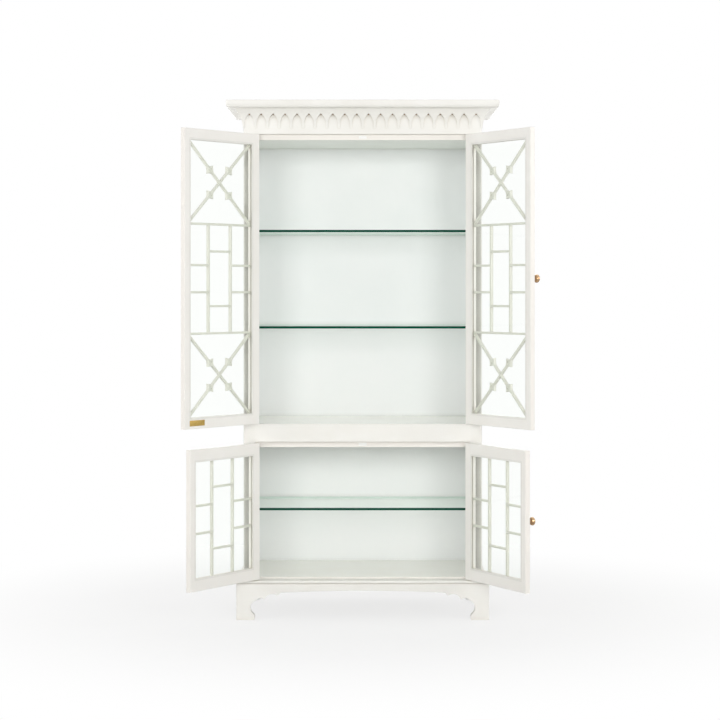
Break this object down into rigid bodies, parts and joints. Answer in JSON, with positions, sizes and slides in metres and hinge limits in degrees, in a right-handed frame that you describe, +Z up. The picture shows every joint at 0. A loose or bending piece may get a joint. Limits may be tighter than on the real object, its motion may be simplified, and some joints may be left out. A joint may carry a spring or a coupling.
{
  "type": "glazed display cabinet",
  "caption": "Tall two-stage glazed display cabinet with lattice doors standing open, glass shelves, a cornice carved with pointed arches, and bracket feet.",
  "frame": {"origin": "on the floor, under the middle of the carcass", "axes": "+X to the right seen from the front, +Y to the back, so the doors face -Y, +Z up"},
  "size_m": [1.4481, 0.9384, 2.171],
  "materials": {
    "white_lacquer": "satin off-white lacquer",
    "carcass_lacquer": "satin off-white lacquer, slightly cool",
    "fretwork_lacquer": "satin off-white lacquer",
    "door_glass": "clear float glass",
    "shelf_glass": "clear glass, polished green edge",
    "hinge_metal": "painted over with the lacquer",
    "bracket_metal": "nickel plated",
    "catch_plastic": "white moulding",
    "knob_brass": "polished",
    "plate_brass": "satin, left blank"
  },
  "bodies": {
    "carcass": {"left_side_panel": "carcass_lacquer", "right_side_panel": "carcass_lacquer", "top_panel": "carcass_lacquer", "upper_floor": "carcass_lacquer", "lower_top_panel": "carcass_lacquer", "lower_floor": "carcass_lacquer", "upper_back_panel": "carcass_lacquer", "lower_back_panel": "carcass_lacquer", "left_frame_stile": "white_lacquer", "right_frame_stile": "white_lacquer", "frieze_rail": "white_lacquer", "waist_rail": "white_lacquer", "base_rail": "white_lacquer", "cornice_board": "white_lacquer", "cornice_front": "white_lacquer", "cornice_returns": "white_lacquer", "base_moulding": "white_lacquer", "front_apron": "white_lacquer", "left_apron": "white_lacquer", "right_apron": "white_lacquer", "back_apron": "carcass_lacquer", "corner_blocks": "carcass_lacquer", "upper_shelf": "shelf_glass", "middle_shelf": "shelf_glass", "lower_shelf": "shelf_glass", "shelf_brackets": "bracket_metal", "door_catches": "catch_plastic", "frame_hinge_leaves": "hinge_metal"},
    "upper_left_door": {"upper_left_hinge_stile": "white_lacquer", "upper_left_meeting_stile": "white_lacquer", "upper_left_rails": "white_lacquer", "upper_left_fretwork": "fretwork_lacquer", "upper_left_glass": "door_glass", "upper_left_glazing_beads": "white_lacquer", "upper_left_hinge_leaves": "hinge_metal", "upper_left_plate": "plate_brass"},
    "upper_right_door": {"upper_right_hinge_stile": "white_lacquer", "upper_right_meeting_stile": "white_lacquer", "upper_right_rails": "white_lacquer", "upper_right_fretwork": "fretwork_lacquer", "upper_right_glass": "door_glass", "upper_right_glazing_beads": "white_lacquer", "upper_right_hinge_leaves": "hinge_metal", "upper_right_knob": "knob_brass"},
    "lower_left_door": {"lower_left_hinge_stile": "white_lacquer", "lower_left_meeting_stile": "white_lacquer", "lower_left_rails": "white_lacquer", "lower_left_fretwork": "fretwork_lacquer", "lower_left_glass": "door_glass", "lower_left_glazing_beads": "white_lacquer", "lower_left_hinge_leaves": "hinge_metal"},
    "lower_right_door": {"lower_right_hinge_stile": "white_lacquer", "lower_right_meeting_stile": "white_lacquer", "lower_right_rails": "white_lacquer", "lower_right_fretwork": "fretwork_lacquer", "lower_right_glass": "door_glass", "lower_right_glazing_beads": "white_lacquer", "lower_right_hinge_leaves": "hinge_metal", "lower_right_knob": "knob_brass"}
  },
  "joints": [
    {"name": "upper_left_door_hinge", "type": "hinge", "parent": "carcass", "child": "upper_left_door", "pos_m": [-0.451, -0.269, 1.425], "axis": [0, 0, -1], "range_deg": [-128.5, 46.5]},
    {"name": "upper_right_door_hinge", "type": "hinge", "parent": "carcass", "child": "upper_right_door", "pos_m": [0.451, -0.269, 1.425], "axis": [0, 0, 1], "range_deg": [-121.9, 53.1]},
    {"name": "lower_left_door_hinge", "type": "hinge", "parent": "carcass", "child": "lower_left_door", "pos_m": [-0.451, -0.269, 0.454], "axis": [0, 0, -1], "range_deg": [-124.9, 50.1]},
    {"name": "lower_right_door_hinge", "type": "hinge", "parent": "carcass", "child": "lower_right_door", "pos_m": [0.451, -0.269, 0.454], "axis": [0, 0, 1], "range_deg": [-118.8, 56.2]}
  ]
}
